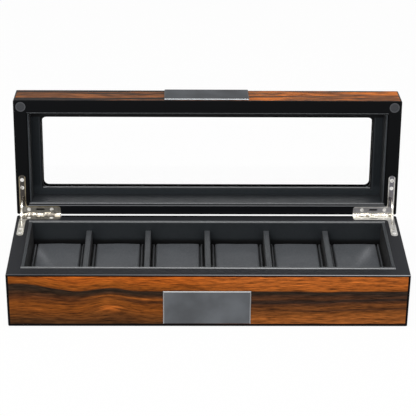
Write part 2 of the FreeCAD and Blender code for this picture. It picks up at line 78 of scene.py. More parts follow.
# %% Shader maths
class Wire:
    """One output socket of a shader tree, or the bare tree when there is no socket yet."""

    def __init__(self, tree, socket=None):
        self.tree = tree
        self.socket = socket

    def node(self, kind, settings=None, inputs=None, output=0):
        """Adds a node: its settings are set first, then the values or wires of its sockets."""
        made = self.tree.nodes.new("ShaderNode" + kind)
        for name, value in (settings or {}).items():
            if name == "stops":
                set_stops(made.color_ramp, value)
            else:
                setattr(made, name, value)
        for name, value in (inputs or {}).items():
            if isinstance(value, Wire):
                self.tree.links.new(value.socket, made.inputs[name])
            else:
                made.inputs[name].default_value = value
        return Wire(self.tree, made.outputs[output] if len(made.outputs) else None)

    def math(self, operation, *values):
        """Adds one Math node on values or wires."""
        return self.node("Math", {"operation": operation}, dict(enumerate(values)))

    def __add__(self, other):
        return self.math("ADD", self, other)

    __radd__ = __add__

    def __sub__(self, other):
        return self.math("SUBTRACT", self, other)

    def __rsub__(self, other):
        return self.math("SUBTRACT", other, self)

    def __mul__(self, other):
        return self.math("MULTIPLY", self, other)

    def __neg__(self):
        return self * -1.0

    def bell(self, middle, width):
        """A smooth bump of height 1 about a middle: exp(-((x - middle) / width) squared)."""
        away = (self - middle) * (1.0 / width)
        return self.math("EXPONENT", -(away * away))

    def step(self, low, high):
        """Rises smoothly from 0 at low to 1 at high."""
        return self.node("MapRange", {"interpolation_type": "SMOOTHSTEP"},
                         {"Value": self, "From Min": low, "From Max": high})


def set_stops(ramp, stops):
    """Fills a colour ramp with (place, colour) stops."""
    while len(ramp.elements) > 1:
        ramp.elements.remove(ramp.elements[-1])
    for index, (place, colour) in enumerate(stops):
        stop = ramp.elements[0] if index == 0 else ramp.elements.new(place)
        stop.position = place
        stop.color = colour


print("shader maths ready")

# %% [markdown]
# Every finish takes the same few steps: a colour, a mix of two colours, a noise that may be drawn out into
# streaks, and a bump. `feed` links the results to the shader, and `dress` puts the finish on CAD pieces.

# %% Steps of a finish
def colour(red, green, blue):
    """A colour given in the 0 to 255 numbers of a picture, as the linear colour a shader takes."""
    share = np.array([red, green, blue]) / 255.0
    linear = np.where(share <= 0.04045, share / 12.92, ((share + 0.055) / 1.055) ** 2.4)
    return (*linear.tolist(), 1.0)


def mixed(factor, first, second):
    """Mixes two colours by a factor wire."""
    return factor.node("Mix", {"data_type": "RGBA"}, {0: factor, 6: first, 7: second}, output=2)


def noise(at, scale, detail=2.0, rough=0.5, warp=0.0):
    """A noise from 0 to 1 at a vector wire."""
    return at.node("TexNoise", None, {"Vector": at, "Scale": scale, "Detail": detail,
                                      "Roughness": rough, "Distortion": warp})


def stretched(at, along, across, depth=1.0, shift=(0.0, 0.0, 0.0)):
    """Scales a pattern's three directions, to draw a noise out into streaks."""
    return at.node("Mapping", None, {"Vector": at, "Location": shift, "Scale": (along, across, depth)})


def finish(name, settings):
    """A new material: returns it, the bare tree and the shader, with the constant sockets set."""
    material = bpy.data.materials.new(name)
    material.use_nodes = True
    tree = material.node_tree
    shader = tree.nodes["Principled BSDF"]
    for socket, value in settings.items():
        shader.inputs[socket].default_value = value
    return material, Wire(tree), shader


def feed(shader, **wires):
    """Links wires to the shader's sockets, named with underscores for spaces."""
    for name, wire in wires.items():
        wire.tree.links.new(wire.socket, shader.inputs[name.replace("_", " ")])


def bump(height, strength, depth_mm):
    """A bump of a given depth from a height wire."""
    inputs = {"Strength": strength, "Distance": depth_mm * MM, "Height": height}
    return height.node("Bump", None, inputs)


def dress(material, *names):
    """Gives CAD nodes a material."""
    for name in names:
        piece = frame["nodes"][name]
        piece.data.materials.clear()
        piece.data.materials.append(material)


print("steps of a finish ready")

# %% [markdown]
# The photograph looks down at the box from a little left of its middle, through a long lens. The place
# and turn of the camera were worked out from the corners of the box in the picture.

# %% Camera
IMAGE_SIDE = 416
SENSOR_MM = 36.0
FOCAL_PIXELS = 1576.7
CAMERA_PLACE = (-0.0211, -1.1934, 0.7173)
LOOKS_DOWN = math.radians(27.855)
TURNS_LEFT = math.radians(-1.006)
LEANS = math.radians(0.578)

lens = bpy.data.cameras.new("camera")
lens.sensor_width = SENSOR_MM
lens.lens = FOCAL_PIXELS * SENSOR_MM / IMAGE_SIDE
camera = bpy.data.objects.new("camera", lens)
turn = Matrix.Rotation(TURNS_LEFT, 3, "Z") @ Matrix.Rotation(math.pi / 2 - LOOKS_DOWN, 3, "X")
turn = turn @ Matrix.Rotation(LEANS, 3, "Z")
camera.location = CAMERA_PLACE
camera.rotation_euler = turn.to_euler()
bpy.context.scene.collection.objects.link(camera)
bpy.context.scene.camera = camera
bpy.context.scene.view_settings.view_transform = "Standard"
print("lens", round(lens.lens, 1), "mm")

# %% [markdown]
# A packshot stands on white. The world shows white to the camera and to reflections, and gives the
# rest of the scene a plain soft light. The floor is pale and keeps a faint shadow.

# %% Stage
SKY_LIGHT = 0.28
FLOOR_HALF = 4.0
FLOOR_GLOW = 0.955
WHITE = (1.0, 1.0, 1.0, 1.0)


def seen_directly(tree):
    """1 for what is looked at, straight, in a mirror or through glass, and 0 for light on other things."""
    kinds = ("Camera", "Glossy", "Transmission")
    rays = [tree.node("LightPath", output=f"Is {kind} Ray") for kind in kinds]
    return tree.math("MINIMUM", sum(rays), 1.0)


def studio_world():
    """White where it is looked at, and a soft grey light elsewhere."""
    world = bpy.data.worlds.new("studio")
    bpy.context.scene.world = world
    world.use_nodes = True
    world.node_tree.nodes.clear()
    tree = Wire(world.node_tree)
    strength = seen_directly(tree) * (1.0 - SKY_LIGHT) + SKY_LIGHT
    sky = tree.node("Background", None, {"Color": WHITE, "Strength": strength})
    tree.node("OutputWorld", None, {"Surface": sky})


def studio_floor():
    """A pale floor that glows a little where it is looked at, so that only the shadow shows."""
    mesh = bpy.data.meshes.new("floor")
    corners = [(x * FLOOR_HALF, y * FLOOR_HALF, 0.0) for x, y in ((-1, -1), (1, -1), (1, 1), (-1, 1))]
    mesh.from_pydata(corners, [], [(0, 1, 2, 3)])
    floor = bpy.data.objects.new("floor", mesh)
    bpy.context.scene.collection.objects.link(floor)
    material, tree, shader = finish("floor_paper", {"Base Color": colour(250, 250, 250), "Roughness": 0.9})
    glow = tree.node("Emission", None, {"Color": WHITE, "Strength": 1.0})
    paper = Wire(material.node_tree, shader.outputs[0])
    look = tree.node("MixShader", None, {0: seen_directly(tree) * FLOOR_GLOW, 1: paper, 2: glow})
    output = material.node_tree.nodes["Material Output"]
    material.node_tree.links.new(look.socket, output.inputs["Surface"])
    mesh.materials.append(material)


studio_world()
studio_floor()
print("white stage, floor", 2 * FLOOR_HALF, "m wide")

# %% [markdown]
# Two softboxes light the box: a narrow one overhead, which picks out the rims, and a broad one in front, a
# little to the left.

# %% Lamps
AIM = (0.0, 0.0, 0.05)


def softbox(name, place, width, height, watts):
    """A rectangular lamp that looks at the middle of the box."""
    lamp = bpy.data.lights.new(name, "AREA")
    lamp.shape = "RECTANGLE"
    lamp.size = width
    lamp.size_y = height
    lamp.energy = watts
    holder = bpy.data.objects.new(name, lamp)
    holder.location = place
    holder.rotation_euler = (Vector(AIM) - Vector(place)).to_track_quat("-Z", "Y").to_euler()
    bpy.context.scene.collection.objects.link(holder)


softbox("top_light", (0.0, -0.05, 1.25), width=1.0, height=0.22, watts=8.5)
softbox("front_light", (-0.3, -1.6, 0.9), width=1.2, height=0.8, watts=14.0)
print("lamps", len(bpy.data.lights))

# %% [markdown]
# Three directions name the lid's own ways once it stands open: across its rails, from the mating face to
# the glass, and up its height, from the hinges to its front. One helper blends a tone in where a place has
# passed a level, and below it paints most of the highlights and shade on rims, lips and edges. A level
# names a direction, the two places in mm along it between which the tone comes in, and the tone.

# %% Directions and painted light past levels
OPEN_ANGLE = -math.radians(frame["joints"][0]["range_deg"][0])
X = Vector((1.0, 0.0, 0.0))
Y = Vector((0.0, 1.0, 0.0))
Z = Vector((0.0, 0.0, 1.0))
ACROSS_LID = Vector((0.0, math.sin(OPEN_ANGLE), math.cos(OPEN_ANGLE)))
UP_LID = Vector((0.0, -math.cos(OPEN_ANGLE), math.sin(OPEN_ANGLE)))
SIDES = ("front", "right", "rear", "left")
print("the lid stands open by", round(math.degrees(OPEN_ANGLE), 1), "degrees")


def reach(name, direction):
    """How far a piece reaches along a direction, in mm: the largest dot product of its points with it."""
    mesh = frame["nodes"][name].data
    flat = np.empty(3 * len(mesh.vertices))
    mesh.vertices.foreach_get("co", flat)
    return float((flat.reshape(-1, 3) @ np.array(direction)).max()) / MM


def along_direction(at, direction):
    """Millimetres along a direction at a vector wire."""
    return at.node("VectorMath", {"operation": "DOT_PRODUCT"}, {0: at, 1: direction / MM}, output="Value")


def tone_past_level(base, at, direction, start, end, tone, right_tone=None):
    """Blends a tone in from start to end, in mm along a direction. To the right it may turn to another."""
    shown = colour(*tone)
    if right_tone:
        rightward = along_direction(at, X).step(cad_low.x / MM, cad_high.x / MM)
        shown = mixed(rightward, shown, colour(*right_tone))
    return mixed(along_direction(at, direction).step(start, end), base, shown)


# %% [markdown]
# The rims, rails and edges are sprayed black and rubbed to a satin. Up close such lacquer has a faint
# orange peel and a few rubbing marks along the board.

# %% Black lacquer
SIDE_RAILS = ("front", "right", "left")


def black_lacquer(name, tone, roughness, gloss, levels=()):
    """Satin black: a cloud, orange peel, rubbing streaks, and painted light in tones from given levels on."""
    material, tree, shader = finish(name, {"Specular IOR Level": gloss})
    at = tree.node("TexCoord", output="Object")
    cloud = noise(at, 45.0, 3.0)
    streak = noise(stretched(at, 60.0, 1400.0, 1400.0), 1.0, 2.0)
    peel = noise(at, 1600.0, 1.0)
    base = mixed(cloud, colour(*(0.85 * part for part in tone)), colour(*tone))
    for level in levels:
        base = tone_past_level(base, at, *level)
    feed(
        shader,
        Base_Color=base,
        Roughness=roughness + (cloud - 0.5) * 0.10 + (streak - 0.5) * 0.12,
        Normal=bump(peel + streak * 0.5, 0.10, 0.05),
    )
    return material


lid_lacquer = black_lacquer("lid_lacquer", (11, 12, 14), roughness=0.42, gloss=0.05)
dress(lid_lacquer, *(f"lid_{side}_rail" for side in SIDE_RAILS))
dress(black_lacquer("window_lacquer", (8, 8, 9), roughness=0.6, gloss=0.0), "lid_top_frame")
print("plain lacquer on", len(SIDE_RAILS) + 1, "pieces")

# %% [markdown]
# The flat of the base's rim is painted paler than its edges, as lit from above. Its front arris carries a
# painted highlight, brighter to the right, so the line of that arris is drawn a little askew. The lid's rear
# rail is painted a little paler than the other rails, as lit at the foot of the open lid, with a painted
# highlight along its inner edge.

# %% Lacquer with painted light
RIM_LIT_TONE = (43, 44, 47)
ARRIS_HIGHLIGHT_LEFT = (88, 89, 92)
ARRIS_HIGHLIGHT_RIGHT = (172, 173, 176)
EDGE_TONE = (5, 5, 6)
ARRIS_SKEW = 0.0018
rim = reach("base_front_wall", Z)
front = reach("base_front_wall", -Y)
rear = reach("base_rear_wall", Y)
forward = -Y - X * ARRIS_SKEW
# Painted light on the rim: its flat painted paler, as lit from above, and a painted highlight on the front
# arris; the very front, the rear 3 mm and the faces below the flat keep the black edge tone.
rim_levels = [
    (Z, rim - 0.5, rim - 0.1, RIM_LIT_TONE),
    (forward, front - 2.1, front - 1.6, ARRIS_HIGHLIGHT_LEFT, ARRIS_HIGHLIGHT_RIGHT),
    (forward, front - 0.9, front - 0.4, EDGE_TONE),
    (Y, rear - 3.2, rear - 2.4, EDGE_TONE),
    (-Z, 0.15 - rim, 0.45 - rim, EDGE_TONE),
]
base_lacquer = black_lacquer("base_lacquer", EDGE_TONE, roughness=0.36, gloss=0.04, levels=rim_levels)
dress(base_lacquer, *(f"base_{side}_wall" for side in SIDES))
# The rear rail's lacquer is painted paler than the other rails, as lit at the foot of the open lid, with a
# painted highlight along its inner edge.
REAR_RAIL_LIT_TONE = (17, 18, 21)
REAR_RAIL_HIGHLIGHT = (130, 132, 135)
inner_edge = reach("lid_rear_rail", UP_LID)
rail_levels = [
    (UP_LID, inner_edge - 1.1, inner_edge - 0.8, REAR_RAIL_HIGHLIGHT),
    (UP_LID, inner_edge - 0.3, inner_edge, REAR_RAIL_LIT_TONE),
]
rail_lacquer = black_lacquer("lid_rear_lacquer", REAR_RAIL_LIT_TONE, 0.42, 0.05, rail_levels)
dress(rail_lacquer, "lid_rear_rail")
print("rubbed lacquer on", len(SIDES) + 1, "pieces, rim at", round(rim, 1), "mm")

# %% [markdown]
# The veneer is a dark striped wood under clear lacquer. Its figure is made as it grows: a tone that
# depends on the height across the sheet, bent by slow waves along the grain, then fine fibres and pores.
# Each sheet has its own grain direction, so a Mapping node turns every sheet's pattern to lie along it.

# %% Veneer figure
def sheet_place(tree, name, along, across):
    """Millimetres along, across and through a sheet, from its middle."""
    low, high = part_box(name)
    turn = Matrix((along, across, along.cross(across)))
    return tree.node("Mapping", None, {
        "Vector": tree.node("TexCoord", output="Object"),
        "Location": turn @ (low + high) / -2.0 / MM,
        "Rotation": turn.to_euler(),
        "Scale": (1 / MM, 1 / MM, 1 / MM),
    })


def axis_of(place, index):
    """One coordinate of a vector wire."""
    return place.node("SeparateXYZ", None, {0: place}, output=index)


def fibres(grain):
    """Long fibres, fine fibres and short dark pores at a place in the grain, each from 0 to 1."""
    long_fibre = noise(stretched(grain, 0.03, 0.42), 1.0, 3.0, 0.6)
    fine_fibre = noise(stretched(grain, 0.10, 1.3), 1.0, 2.0, 0.6)
    pore = noise(stretched(grain, 0.13, 0.9, 1.0, (5.0, 3.0, 0.0)), 1.0, 1.0).step(0.56, 0.74)
    return long_fibre, fine_fibre, pore


def varnish(name, gloss):
    """The clear lacquer over the veneer."""
    return finish(name, {"Specular IOR Level": gloss})


def cut_sheet(shader, wood, long_fibre, fine_fibre, pore):
    """Joins a wood colour, its fibres and its pores into the shader."""
    shade = 1.0 + (long_fibre - 0.5) * 2.4 + (fine_fibre - 0.5) * 2.7 - pore * 0.3
    shade = shade.math("MAXIMUM", shade, 0.25)
    feed(
        shader,
        Base_Color=shade.node("VectorMath", {"operation": "SCALE"}, {0: wood, "Scale": shade}),
        Roughness=0.34 + pore * 0.15 - (fine_fibre - 0.5) * 0.2,
        Normal=bump(fine_fibre * 0.4 - pore, 0.10, 0.05),
    )


print("veneer figure ready")

# %% [markdown]
# The front of the base shows most. Its figure is told as depths below the top of the sheet: an orange band,
# then a near black streak whose upper edge rises at the left end and swells over a knot, then brown on
# the left, and dark stripes over orange on the right.

# %% Tones of the front veneer
BAND_SHARE = 0.25
RAMP_SPAN = 60.0
LEFT_WOOD = [
    (-15.0, (180, 90, 25)), (-9.0, (168, 85, 25)), (-4.0, (141, 75, 22)), (-0.7, (128, 68, 21)),
    (0.5, (44, 32, 23)), (3.2, (46, 33, 23)), (5.0, (62, 39, 23)), (8.0, (84, 46, 21)),
    (12.0, (106, 57, 20)), (17.0, (126, 68, 21)), (21.0, (122, 66, 22)), (25.0, (108, 61, 23)),
    (28.0, (94, 54, 22)), (31.0, (78, 47, 21)), (40.0, (68, 42, 20)),
]
RIGHT_WOOD = [
    (-15.0, (182, 96, 38)), (-9.0, (171, 92, 35)), (-3.0, (159, 85, 31)), (-0.7, (148, 81, 29)),
    (0.5, (42, 33, 26)), (2.6, (46, 35, 26)), (4.2, (64, 40, 26)), (7.2, (82, 49, 27)),
    (9.0, (48, 33, 25)), (10.6, (50, 34, 25)), (12.2, (82, 48, 26)), (15.0, (104, 60, 27)),
    (20.0, (110, 63, 27)), (24.5, (142, 81, 33)), (32.0, (146, 84, 37)),
]
KNOT_X = -83.0


def wood_tones(depth, tones):
    """The colour at a depth from a list of (depth in mm, colour)."""
    stops = [(BAND_SHARE + below / RAMP_SPAN, colour(*tone)) for below, tone in tones]
    return depth.node("ValToRGB", {"stops": stops}, {0: depth * (1.0 / RAMP_SPAN) + BAND_SHARE})


def lined(wood, depth, at, width, share, tone):
    """Blends a tone in along a line at a depth: a bell about it, times a share from 0 to 1."""
    return mixed(depth.bell(at, width) * share, wood, colour(*tone))


def left_wood(along, flow, depth, knot):
    """Brown below the streak, with pale and dark lines that arch over the knot and a flame under them,
    painted brighter as a glint.
    """
    wood = wood_tones(depth, LEFT_WOOD)
    wood = lined(wood, flow, at=13.5, width=4.5, share=knot * 0.4, tone=(150, 84, 30))
    wood = lined(wood, flow, at=8.2, width=1.1, share=along.step(-112.0, -95.0) * 0.65, tone=(160, 90, 34))
    wood = lined(wood, flow, at=11.4, width=1.6, share=along.step(-82.0, -66.0) * 0.5, tone=(58, 34, 19))
    # The flame is pale figure painted brighter, a painted glint of the wood's sheen.
    wood = lined(wood, flow, at=21.8, width=1.9, share=along.bell(KNOT_X, 8.0) * 0.85, tone=(196, 106, 40))
    return lined(wood, flow, at=27.0, width=3.5, share=along.bell(-72.0, 16.0) * 0.45, tone=(62, 38, 20))


def right_wood(along, below_edge, depth):
    """Dark stripes over orange, one thin dark line, and a dark patch under the streak at the right end."""
    wood = wood_tones(depth, RIGHT_WOOD)
    wood = lined(wood, depth, at=19.0, width=1.1, share=along.step(50.0, 95.0) * 0.85, tone=(64, 38, 22))
    patch = (1.0 - depth.step(3.0, 11.0)) * below_edge.step(0.0, 1.5) * along.step(105.0, 145.0)
    return mixed(patch * 0.6, wood, colour(47, 36, 29))


print("front veneer of", len(LEFT_WOOD) + len(RIGHT_WOOD), "tones")

# %% [markdown]
# The grain follows the upper edge of the streak. Below it the fibres arch over the knot and settle again
# further down, and at the left end they fall back to level. The black of the edges laps over the sheet's
# ends and foot.

# %% Front veneer of the base
STREAK_DEPTH = 14.0
LEFT_END = (108.0, 160.0)
LEFT_RISE = 7.2
LEFT_FALL = 4.0
KNOT_RISE = 3.0
KNOT_SWELL = 3.5
DIP_X = 98.0
RIGHT_DIP = 0.8
RIGHT_TILT = 0.025
RIGHT_DRIFT = 0.35
LAP = 0.8


def lapped(wood, along, below_top, width, height):
    """Laps black over the ends and the foot of a sheet."""
    aside = along.math("ABSOLUTE", along)
    ends = aside.step(width / 2 - LAP, width / 2 - LAP / 2)
    lap = ends + below_top.step(height - LAP, height - LAP / 2)
    return mixed(lap.math("MINIMUM", lap, 1.0), wood, colour(*EDGE_TONE))


def base_front_veneer(name):
    """The pictured sheet: a tone by the depth below the streak's edge, left and right of the plate."""
    material, tree, shader = varnish("base_front_veneer", gloss=0.05)
    low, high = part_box(name)
    width, height = (high.x - low.x) / MM, (high.z - low.z) / MM
    place = sheet_place(tree, name, X, Z)
    along = axis_of(place, 0)
    below_top = height / 2 - axis_of(place, 1)
    rise = (-along).step(*LEFT_END)
    knot = along.bell(KNOT_X, 16.0)
    edge = STREAK_DEPTH - rise * LEFT_RISE - knot * KNOT_RISE + along.bell(DIP_X, 14.0) * RIGHT_DIP
    below_edge = below_top - edge
    arched = below_edge.step(2.0, 14.0) * (1.0 - below_edge.step(16.0, 30.0) * 1.4)
    swell = along.bell(KNOT_X, 22.0) * arched * KNOT_SWELL
    flow = below_edge + swell - rise * below_edge.step(0.0, 9.0) * LEFT_FALL
    grain = tree.node("CombineXYZ", None, {0: along, 1: flow})
    inside = below_edge.step(2.0, 10.0)
    drift = (noise(stretched(grain, 0.014, 0.11), 1.0, 3.0) - 0.5) * 9.0 * inside
    edge_drift = (noise(stretched(grain, 0.05, 0.02), 1.0, 2.0) - 0.5) * 1.4
    long_fibre, fine_fibre, pore = fibres(grain)
    left_depth = flow + edge_drift + drift + (long_fibre - 0.5) * 2.0
    right_depth = flow + edge_drift + drift * RIGHT_DRIFT + (long_fibre - 0.5)
    right_depth = right_depth + (along - 90.0) * RIGHT_TILT * inside
    left = left_wood(along, flow, left_depth, knot)
    wood = mixed(along.step(-30.0, 30.0), left, right_wood(along, below_edge, right_depth))
    wood = lapped(wood, along, below_top, width, height)
    cut_sheet(shader, wood, long_fibre, fine_fibre, pore)
    return material


dress(base_front_veneer("base_veneer_front"), "base_veneer_front")
print("streak", STREAK_DEPTH, "mm below the top of the front veneer")

# %% [markdown]
# The other sheets come from the same log, so they get stripes of the same tones in an order that a
# noise across the sheet decides. A seed moves each sheet to another part of the log.

# %% Other veneer sheets
STRIPE_WOOD = [
    (0.00, (44, 31, 23)), (0.30, (56, 36, 24)), (0.38, (96, 54, 25)), (0.46, (122, 67, 25)),
    (0.52, (150, 80, 28)), (0.58, (172, 90, 30)), (0.64, (112, 62, 25)), (0.72, (62, 39, 24)),
    (1.00, (46, 32, 23)),
]
LID_WOOD = [
    (0.00, (28, 20, 17)), (0.34, (42, 30, 22)), (0.42, (104, 63, 35)), (0.50, (164, 94, 41)),
    (0.57, (132, 78, 39)), (0.62, (46, 32, 23)), (0.69, (132, 78, 39)), (0.80, (64, 42, 28)),
    (0.90, (146, 86, 41)), (1.00, (42, 30, 23)),
]
GLINT_WOOD = (206, 112, 38)


def striped_veneer(name, along, across, seed, stripes_per_mm, tones, contrast, glint):
    """Stripes from a noise drawn far out along the grain, with painted glints on the right-hand half."""
    material, tree, shader = varnish(name, gloss=0.02)
    place = sheet_place(tree, name, along, across)
    seeded = place.node("VectorMath", {"operation": "ADD"}, {0: place, 1: (seed, 0.37 * seed, 0.0)})
    bend = (noise(stretched(seeded, 0.02, 0.03), 1.0, 2.0) - 0.5) * 7.0
    lift = tree.node("CombineXYZ", None, {1: bend})
    grain = seeded.node("VectorMath", {"operation": "ADD"}, {0: seeded, 1: lift})
    long_fibre, fine_fibre, pore = fibres(grain)
    stripe = noise(stretched(grain, 0.0035, stripes_per_mm), 1.0, 3.0, 0.55)
    ramp_at = (stripe - 0.5) * contrast + 0.5 + (long_fibre - 0.5) * 0.12
    stops = [(where, colour(*tone)) for where, tone in tones]
    wood = tree.node("ValToRGB", {"stops": stops}, {0: ramp_at})
    # Painted glints: a paler wood tone where the varnished sheet catches the light.
    shine = noise(stretched(grain, 0.02, 0.16, 1.0, (3.0, 7.0, 0.0)), 1.0, 2.0).step(0.42, 0.60)
    wood = mixed(shine * axis_of(place, 0).step(10.0, 50.0) * glint, wood, colour(*GLINT_WOOD))
    cut_sheet(shader, wood, long_fibre, fine_fibre, pore)
    return material


SHEETS = [
    ("base_veneer_rear", -X, Z, 611.0, 0.055),
    ("base_veneer_right", Y, Z, 913.0, 0.055),
    ("base_veneer_left", -Y, Z, 1207.0, 0.055),
    ("lid_veneer_rear", -X, ACROSS_LID, 1801.0, 0.07),
    ("lid_veneer_right", -UP_LID, ACROSS_LID, 2111.0, 0.07),
    ("lid_veneer_left", UP_LID, ACROSS_LID, 2411.0, 0.07),
    ("lid_veneer_top", X, -UP_LID, 2713.0, 0.07),
]
for sheet in SHEETS:
    dress(striped_veneer(*sheet, STRIPE_WOOD, contrast=1.35, glint=0.0), sheet[0])
LID_FRONT = ("lid_veneer_front", X, ACROSS_LID, 1511.0, 0.13)
dress(striped_veneer(*LID_FRONT, LID_WOOD, contrast=3.4, glint=0.9), LID_FRONT[0])
print("striped veneer on", len(SHEETS) + 1, "sheets")

# %% [markdown]
# The inside is covered with black leatherette: a pressed pebble grain under a satin skin.

# %% Leatherette
PEBBLE = 0.9 * MM


def leatherette(name, tone, roughness, gloss=0.5, levels=(), details=()):
    """Pebble grain from Voronoi cells, darker in the creases, with painted light and shade past levels and in
    drawn details.
    """
    material, tree, shader = finish(name, {
        "Specular IOR Level": gloss, "Sheen Weight": 0.03, "Sheen Roughness": 0.4})
    at = tree.node("TexCoord", output="Object")
    bent = noise(at, 300.0, 2.0)
    cells = at.node("TexVoronoi", {"feature": "DISTANCE_TO_EDGE"}, {"Vector": at, "Scale": 1 / PEBBLE},
                    output="Distance")
    pebble = cells.step(0.02, 0.30)
    cloud = noise(at, 28.0, 3.0)
    base = mixed(cloud * 0.25, colour(*tone), colour(*(0.82 * part for part in tone)))
    for level in levels:
        base = tone_past_level(base, at, *level)
    for detail in details:
        base = detail(at, base)
    crease = 0.62 + pebble * 0.38
    feed(
        shader,
        Base_Color=base.node("VectorMath", {"operation": "SCALE"}, {0: base, "Scale": crease}),
        Roughness=roughness + (bent - 0.5) * 0.12 - (pebble - 0.5) * 0.08,
        Normal=bump(pebble + bent * 0.4, 0.16, 0.08),
    )
    return material


print("leatherette with pebbles of", round(PEBBLE / MM, 1), "mm")

# %% [markdown]
# In the tray the boards are painted darker towards the cushions, painted shade where little light reaches.
# Their tops are painted pale, as lit from above, and along the front the crest of the turned edge carries a
# painted highlight. The short boards are a darker copy of the lining, painted shade, and the dividers a paler
# one, painted light on their tops with painted shade down their sides.

# %% Lining of the tray
LINING_TONE = (41, 46, 50)
SHADE_TONE = (7, 7, 8)
DIVIDER_LIT_TONE = (74, 77, 80)
DIVIDER_SIDE_SHADE = (18, 20, 22)
SHORT_LINER_SHADED_TONE = (9, 10, 11)
FRONT_LIP_LIT_TONE = (78, 80, 82)
CREST_HIGHLIGHT = (170, 172, 174)
OUTER_LIP_SHADE = (46, 48, 50)
REAR_LIP_HIGHLIGHT = (118, 120, 122)
SHORT_LIP_LIT_TONE = (72, 75, 78)
LIP_SKEW = 0.0045
lip = reach("liner_front", Z)
cushion_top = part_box("cushion_1")[1].z / MM
shade = (-Z, -cushion_top - 3.0, -cushion_top + 1.0, SHADE_TONE)
deep_shade = (-Z, -cushion_top - 12.0, -cushion_top - 1.0, SHADE_TONE)
inner_lip = reach("liner_front", Y)
crestward = -Y - X * LIP_SKEW
# Painted light on the lips: their tops painted paler, as lit from above, a painted highlight on the front
# crest and painted shade beyond it.
front_lip = [
    (Z, lip - 0.7, lip - 0.2, FRONT_LIP_LIT_TONE),
    (crestward, 1.9 - inner_lip, 2.3 - inner_lip, CREST_HIGHLIGHT),
    (crestward, 2.8 - inner_lip, 3.2 - inner_lip, OUTER_LIP_SHADE),
]
rear_lip = [shade, (Z, lip - 0.7, lip - 0.2, REAR_LIP_HIGHLIGHT)]
short_lip = [deep_shade, (Z, lip - 0.6, lip - 0.1, SHORT_LIP_LIT_TONE)]
# The dividers are a paler copy of the lining, painted light on their tops, with painted shade down their
# sides.
divider_top = reach("divider_1", Z)
divider_levels = [(-Z, 0.3 - divider_top, 1.0 - divider_top, DIVIDER_SIDE_SHADE), shade]
dress(leatherette("front_liner", LINING_TONE, 0.42, levels=front_lip), "liner_front")
dress(leatherette("rear_liner", LINING_TONE, 0.42, levels=rear_lip), "liner_rear", "tray_floor")
# The short boards are a darker copy of the lining: painted shade.
short_liner = leatherette("short_liner", SHORT_LINER_SHADED_TONE, 0.45, gloss=0.1, levels=short_lip)
dress(short_liner, "liner_left", "liner_right")
DIVIDERS = [f"divider_{i}" for i in range(1, 6)]
divider = leatherette("divider_leatherette", DIVIDER_LIT_TONE, 0.45, gloss=0.35, levels=divider_levels)
dress(divider, *DIVIDERS)
print("tray lined, lip at", round(lip, 1), "mm")

# %% [markdown]
# In the lid the boards are thinner. The side and front boards are a darker copy of the leatherette, painted
# shade, and the rear one a paler, glossier copy, painted light where it faces up in the open lid. Each
# carries a narrow painted highlight along its mating edge and painted shade along its outer edge, and the one
# at the rear a second painted highlight beside that shade.

# %% Lining of the lid
LID_SHADED_TONE = (27, 31, 34)
REAR_BOARD_LIT_TONE = (36, 40, 44)
LID_SHADE = (12, 13, 15)
SIDE_EDGE_HIGHLIGHT = (74, 78, 82)
FRONT_EDGE_HIGHLIGHT = (116, 119, 122)
REAR_EDGE_HIGHLIGHT = (86, 89, 92)
MATING = -ACROSS_LID
lid_lip = reach("lid_liner_rear", MATING)


def lid_liner(side, tone, gloss, edge_highlight, outward, *bands):
    """A board of the lid: a painted highlight on its mating edge, and bands of painted shade and highlight
    from given places on across that edge.
    """
    levels = [(MATING, lid_lip - 0.7, lid_lip - 0.3, edge_highlight)]
    edge = reach(f"lid_liner_{side}", outward)
    for inside, band_tone in bands:
        levels.append((outward, edge - inside - 0.2, edge - inside + 0.2, band_tone))
    dress(leatherette(f"lid_{side}_leatherette", tone, 0.48, gloss, levels), f"lid_liner_{side}")


# Shaded and lit copies of one leatherette, each with painted highlights and shade along its edges.
lid_liner("left", LID_SHADED_TONE, 0.1, SIDE_EDGE_HIGHLIGHT, -X, (0.9, LID_SHADE))
lid_liner("right", LID_SHADED_TONE, 0.1, SIDE_EDGE_HIGHLIGHT, X, (0.9, LID_SHADE))
lid_liner("front", LID_SHADED_TONE, 0.1, FRONT_EDGE_HIGHLIGHT, -UP_LID, (1.0, LID_SHADE))
lid_liner("rear", REAR_BOARD_LIT_TONE, 0.5, REAR_EDGE_HIGHLIGHT, -UP_LID, (1.2, CREST_HIGHLIGHT), (0.55, LID_SHADE))
print("lid lined on", len(SIDES), "sides")

# %% [markdown]
# The lid's inner panel is covered too, and painted paler towards its foot, as lit there. Where the covering
# turns in round the window it gets painted shade inside the turn and a faint painted highlight on its edge,
# and below the window, where the turn faces the light, a bright painted highlight.

# %% Inner panel of the lid
PANEL_TONE = (39, 44, 48)
PANEL_FOOT_LIT_TONE = (50, 55, 59)
TURN_HIGHLIGHT = (60, 64, 68)
SILL_HIGHLIGHT = (176, 178, 181)
PANEL_RIM = 3.0


def window_turn():
    """The least and most that the turn round the window reaches along X and up the lid, in mm."""
    mesh = frame["nodes"]["lid_inner_panel"].data
    flat = np.empty(3 * len(mesh.vertices))
    mesh.vertices.foreach_get("co", flat)
    across = flat.reshape(-1, 3) @ np.array([X, UP_LID]).T / MM
    inner = (across > across.min(0) + PANEL_RIM) & (across < across.max(0) - PANEL_RIM)
    turn = across[inner.all(1)]
    return turn.min(0), turn.max(0)


turn_low, turn_high = window_turn()


